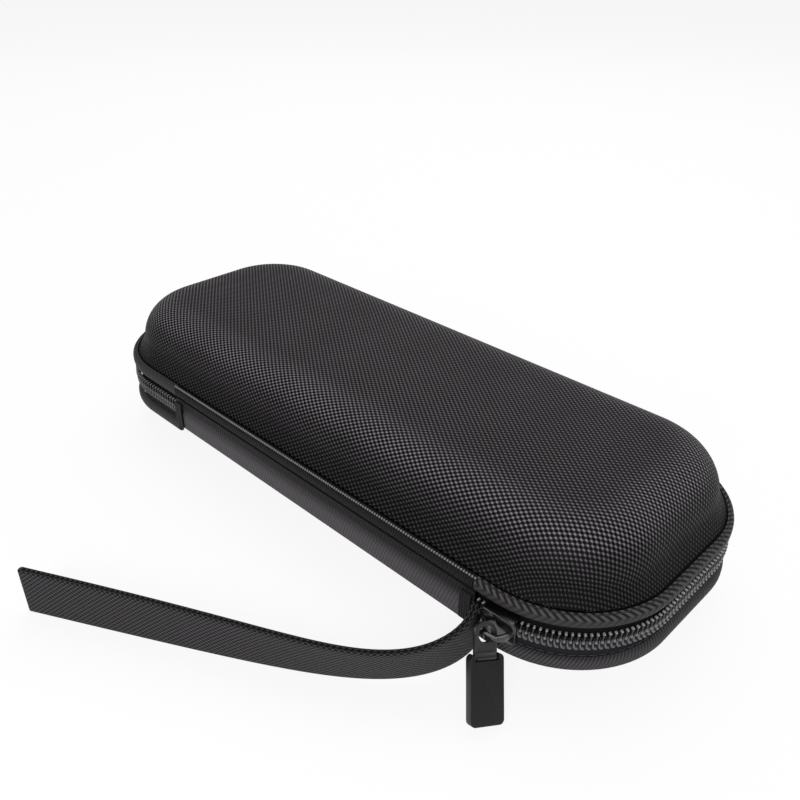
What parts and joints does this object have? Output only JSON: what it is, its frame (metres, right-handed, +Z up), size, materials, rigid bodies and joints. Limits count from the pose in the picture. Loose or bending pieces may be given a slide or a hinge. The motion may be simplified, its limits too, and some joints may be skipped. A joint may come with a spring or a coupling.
{
  "type": "insulin cooling case",
  "caption": "Oblong zipped hard case that keeps insulin pens cool, with gel packs in net pockets, elastic pen loops and a folded wrist strap.",
  "frame": {"origin": "centre of the case's flat underside", "axes": "+X to the end with the zip slider, +Z up through the lid, -Y to the spine side"},
  "size_m": [0.205, 0.151, 0.0431],
  "materials": {
    "shell_fabric": "woven polyester on moulded foam",
    "lining": "smooth knit",
    "binding": "ribbed tape",
    "zip_tape": "twill tape",
    "zip_coil": "moulded nylon",
    "spine_nylon": "ribbed nylon",
    "spine_leather": "smooth coated fabric",
    "net": "open knitted net",
    "elastic": "woven elastic",
    "gel_pack": "welded film",
    "zip_metal": "black enamel",
    "soft_tab": "smooth moulded",
    "webbing": "flat woven webbing"
  },
  "bodies": {
    "base": {"base_shell": "shell_fabric", "base_liner": "lining", "base_binding": "binding", "zip_tape_base": "zip_tape", "zip_coil_base": "zip_coil", "spine_panel": "spine_nylon", "spine_fold_right": "binding", "spine_fold_left": "binding", "spine_flap": "spine_leather", "base_net_pocket": "net", "base_pocket_hem": "elastic", "pen_loop_band": "elastic"},
    "lid": {"lid_shell": "shell_fabric", "lid_liner": "lining", "lid_binding": "binding", "zip_tape_lid": "zip_tape", "zip_coil_lid": "zip_coil", "lid_net_pocket": "net", "lid_pocket_hem": "elastic"},
    "base_pack": {"base_gel_pack": "gel_pack"},
    "lid_pack": {"lid_gel_pack": "gel_pack"},
    "slider": {"slider_body": "zip_metal"},
    "pull": {"pull_head": "zip_metal", "pull_tab": "soft_tab"},
    "strap": {"wrist_strap": "webbing"}
  },
  "joints": [
    {"name": "lid_hinge", "type": "hinge", "parent": "base", "child": "lid", "pos_m": [0, -0.0419, 0.0185], "axis": [1, 0, 0], "range_deg": [0, 175], "deforming": ["spine_panel", "spine_fold_right", "spine_fold_left", "spine_flap", "zip_tape_lid", "zip_coil_lid", "zip_coil_base", "wrist_strap"]},
    {"name": "slider_travel", "type": "hinge", "parent": "base", "child": "slider", "pos_m": [0.0725, -0.0116, 0.0185], "axis": [0, 0, 1], "range_deg": [0, 87.5]},
    {"name": "pull_swing", "type": "hinge", "parent": "slider", "child": "pull", "pos_m": [0.0756, -0.04624, 0.0185], "axis": [-0.9869, 0.1616, 0], "range_deg": [-15, 150]},
    {"name": "strap_swing", "type": "hinge", "parent": "base", "child": "strap", "pos_m": [0.0692, -0.0434, 0.012], "axis": [0, 0, 1], "range_deg": [0, 87.5]},
    {"name": "base_pack_slide", "type": "slide", "parent": "base", "child": "base_pack", "axis": [1, 0, 0], "range_m": [0, 0.006]},
    {"name": "lid_pack_slide", "type": "slide", "parent": "lid", "child": "lid_pack", "axis": [1, 0, 0], "range_m": [0, 0.006]}
  ],
  "couplings": [
    {"joint": "slider_travel", "follows": "lid_hinge", "ratio": 0.5},
    {"joint": "strap_swing", "follows": "lid_hinge", "ratio": 0.5}
  ]
}
